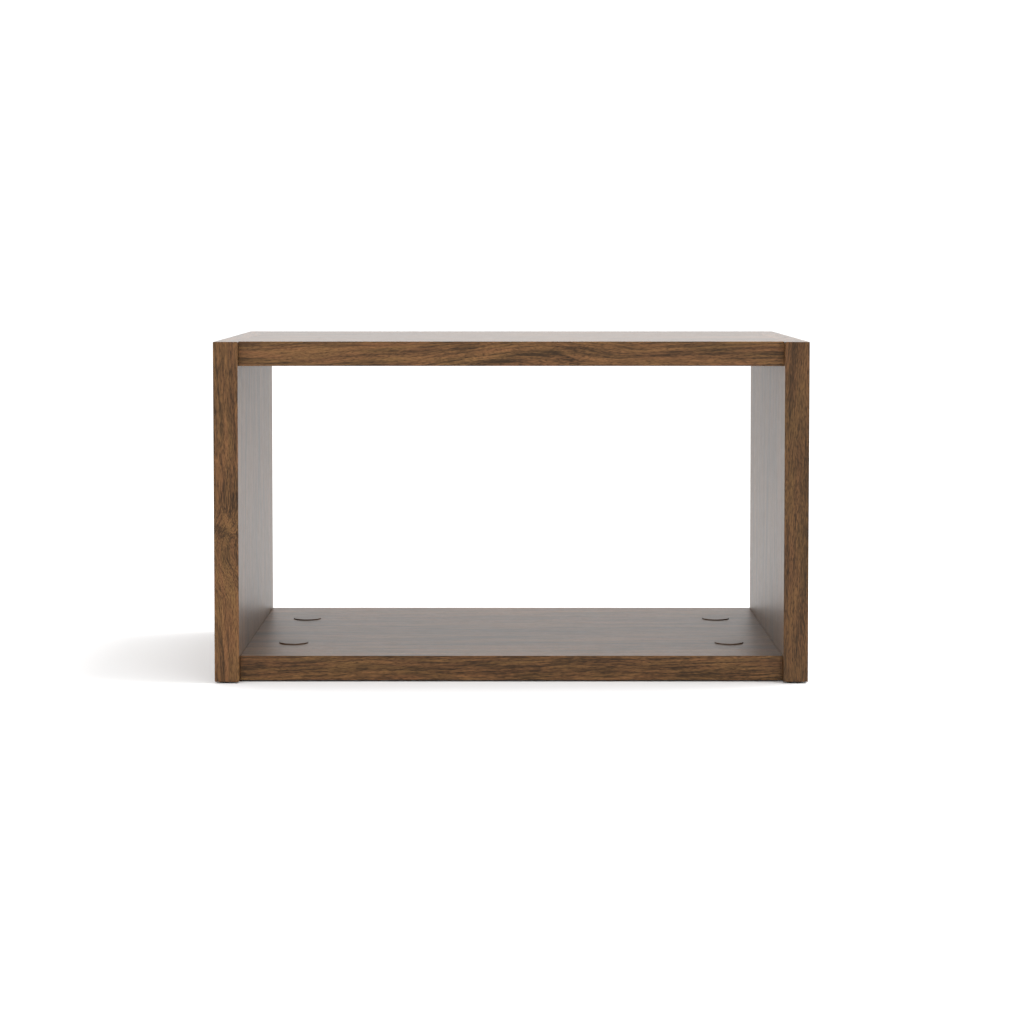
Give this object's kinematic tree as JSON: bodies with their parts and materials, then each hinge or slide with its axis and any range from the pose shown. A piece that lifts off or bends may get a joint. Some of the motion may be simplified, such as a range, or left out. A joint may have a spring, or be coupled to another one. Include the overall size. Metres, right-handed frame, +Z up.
{
  "type": "cube storage unit",
  "caption": "Wide open-fronted and open-backed storage box in walnut veneer, with knock-down cam fittings under round caps, to stand alone, side by side or stacked.",
  "frame": {"origin": "on the floor, under the middle of the box, at the bottom centre of its bounding box", "axes": "+X to the right along the width, -Y out of the open front, +Z up"},
  "size_m": [0.436, 0.264, 0.2512],
  "materials": {
    "walnut_veneer": "satin",
    "walnut_edging": "satin",
    "fibreboard_core": "matte",
    "zinc_cam": "satin",
    "steel_bolt": "satin",
    "cap_plastic": "satin",
    "beech_dowel": "matte",
    "glide_plastic": "matte",
    "steel_nail": "satin"
  },
  "bodies": {
    "carcass": {"left_side_core": "fibreboard_core", "left_side_inner_veneer": "walnut_veneer", "left_side_outer_veneer": "walnut_veneer", "left_side_front_edging": "walnut_edging", "left_side_back_edging": "walnut_edging", "left_side_top_edging": "walnut_edging", "left_side_bottom_edging": "walnut_edging", "right_side_core": "fibreboard_core", "right_side_inner_veneer": "walnut_veneer", "right_side_outer_veneer": "walnut_veneer", "right_side_front_edging": "walnut_edging", "right_side_back_edging": "walnut_edging", "right_side_top_edging": "walnut_edging", "right_side_bottom_edging": "walnut_edging", "bottom_panel_core": "fibreboard_core", "bottom_panel_inner_veneer": "walnut_veneer", "bottom_panel_outer_veneer": "walnut_veneer", "bottom_panel_front_edging": "walnut_edging", "bottom_panel_back_edging": "walnut_edging", "top_panel_core": "fibreboard_core", "top_panel_inner_veneer": "walnut_veneer", "top_panel_outer_veneer": "walnut_veneer", "top_panel_front_edging": "walnut_edging", "top_panel_back_edging": "walnut_edging", "cam_bolt_bottom_left_front": "steel_bolt", "cam_bolt_bottom_left_back": "steel_bolt", "cam_bolt_bottom_right_front": "steel_bolt", "cam_bolt_bottom_right_back": "steel_bolt", "cam_bolt_top_left_front": "steel_bolt", "cam_bolt_top_left_back": "steel_bolt", "cam_bolt_top_right_front": "steel_bolt", "cam_bolt_top_right_back": "steel_bolt", "dowels_bottom_left": "beech_dowel", "dowels_bottom_right": "beech_dowel", "dowels_top_left": "beech_dowel", "dowels_top_right": "beech_dowel", "glide_left_front": "glide_plastic", "glide_left_back": "glide_plastic", "glide_right_front": "glide_plastic", "glide_right_back": "glide_plastic", "glide_nails": "steel_nail"},
    "cam_bottom_left_front": {"cam_lock_bottom_left_front": "zinc_cam"},
    "cam_bottom_left_back": {"cam_lock_bottom_left_back": "zinc_cam"},
    "cam_bottom_right_front": {"cam_lock_bottom_right_front": "zinc_cam"},
    "cam_bottom_right_back": {"cam_lock_bottom_right_back": "zinc_cam"},
    "cam_top_left_front": {"cam_lock_top_left_front": "zinc_cam"},
    "cam_top_left_back": {"cam_lock_top_left_back": "zinc_cam"},
    "cam_top_right_front": {"cam_lock_top_right_front": "zinc_cam"},
    "cam_top_right_back": {"cam_lock_top_right_back": "zinc_cam"},
    "cap_bottom_left_front": {"cover_cap_bottom_left_front": "cap_plastic"},
    "cap_bottom_left_back": {"cover_cap_bottom_left_back": "cap_plastic"},
    "cap_bottom_right_front": {"cover_cap_bottom_right_front": "cap_plastic"},
    "cap_bottom_right_back": {"cover_cap_bottom_right_back": "cap_plastic"},
    "cap_top_left_front": {"cover_cap_top_left_front": "cap_plastic"},
    "cap_top_left_back": {"cover_cap_top_left_back": "cap_plastic"},
    "cap_top_right_front": {"cover_cap_top_right_front": "cap_plastic"},
    "cap_top_right_back": {"cover_cap_top_right_back": "cap_plastic"}
  },
  "joints": [
    {"name": "turn_cam_bottom_left_front", "type": "hinge", "parent": "carcass", "child": "cam_bottom_left_front", "pos_m": [-0.166, -0.06, 0.0192], "axis": [0, 0, 1], "range_deg": [0, 180]},
    {"name": "turn_cam_bottom_left_back", "type": "hinge", "parent": "carcass", "child": "cam_bottom_left_back", "pos_m": [-0.166, 0.068, 0.0192], "axis": [0, 0, 1], "range_deg": [0, 180]},
    {"name": "turn_cam_bottom_right_front", "type": "hinge", "parent": "carcass", "child": "cam_bottom_right_front", "pos_m": [0.166, -0.06, 0.0192], "axis": [0, 0, 1], "range_deg": [0, 180]},
    {"name": "turn_cam_bottom_right_back", "type": "hinge", "parent": "carcass", "child": "cam_bottom_right_back", "pos_m": [0.166, 0.068, 0.0192], "axis": [0, 0, 1], "range_deg": [0, 180]},
    {"name": "turn_cam_top_left_front", "type": "hinge", "parent": "carcass", "child": "cam_top_left_front", "pos_m": [-0.166, -0.06, 0.2332], "axis": [0, 0, -1], "range_deg": [0, 180]},
    {"name": "turn_cam_top_left_back", "type": "hinge", "parent": "carcass", "child": "cam_top_left_back", "pos_m": [-0.166, 0.068, 0.2332], "axis": [0, 0, -1], "range_deg": [0, 180]},
    {"name": "turn_cam_top_right_front", "type": "hinge", "parent": "carcass", "child": "cam_top_right_front", "pos_m": [0.166, -0.06, 0.2332], "axis": [0, 0, -1], "range_deg": [0, 180]},
    {"name": "turn_cam_top_right_back", "type": "hinge", "parent": "carcass", "child": "cam_top_right_back", "pos_m": [0.166, 0.068, 0.2332], "axis": [0, 0, -1], "range_deg": [0, 180]},
    {"name": "lift_cap_bottom_left_front", "type": "slide", "parent": "carcass", "child": "cap_bottom_left_front", "axis": [0, 0, 1], "range_m": [0, 0.01]},
    {"name": "lift_cap_bottom_left_back", "type": "slide", "parent": "carcass", "child": "cap_bottom_left_back", "axis": [0, 0, 1], "range_m": [0, 0.01]},
    {"name": "lift_cap_bottom_right_front", "type": "slide", "parent": "carcass", "child": "cap_bottom_right_front", "axis": [0, 0, 1], "range_m": [0, 0.01]},
    {"name": "lift_cap_bottom_right_back", "type": "slide", "parent": "carcass", "child": "cap_bottom_right_back", "axis": [0, 0, 1], "range_m": [0, 0.01]},
    {"name": "lift_cap_top_left_front", "type": "slide", "parent": "carcass", "child": "cap_top_left_front", "axis": [0, 0, -1], "range_m": [0, 0.01]},
    {"name": "lift_cap_top_left_back", "type": "slide", "parent": "carcass", "child": "cap_top_left_back", "axis": [0, 0, -1], "range_m": [0, 0.01]},
    {"name": "lift_cap_top_right_front", "type": "slide", "parent": "carcass", "child": "cap_top_right_front", "axis": [0, 0, -1], "range_m": [0, 0.01]},
    {"name": "lift_cap_top_right_back", "type": "slide", "parent": "carcass", "child": "cap_top_right_back", "axis": [0, 0, -1], "range_m": [0, 0.01]}
  ]
}
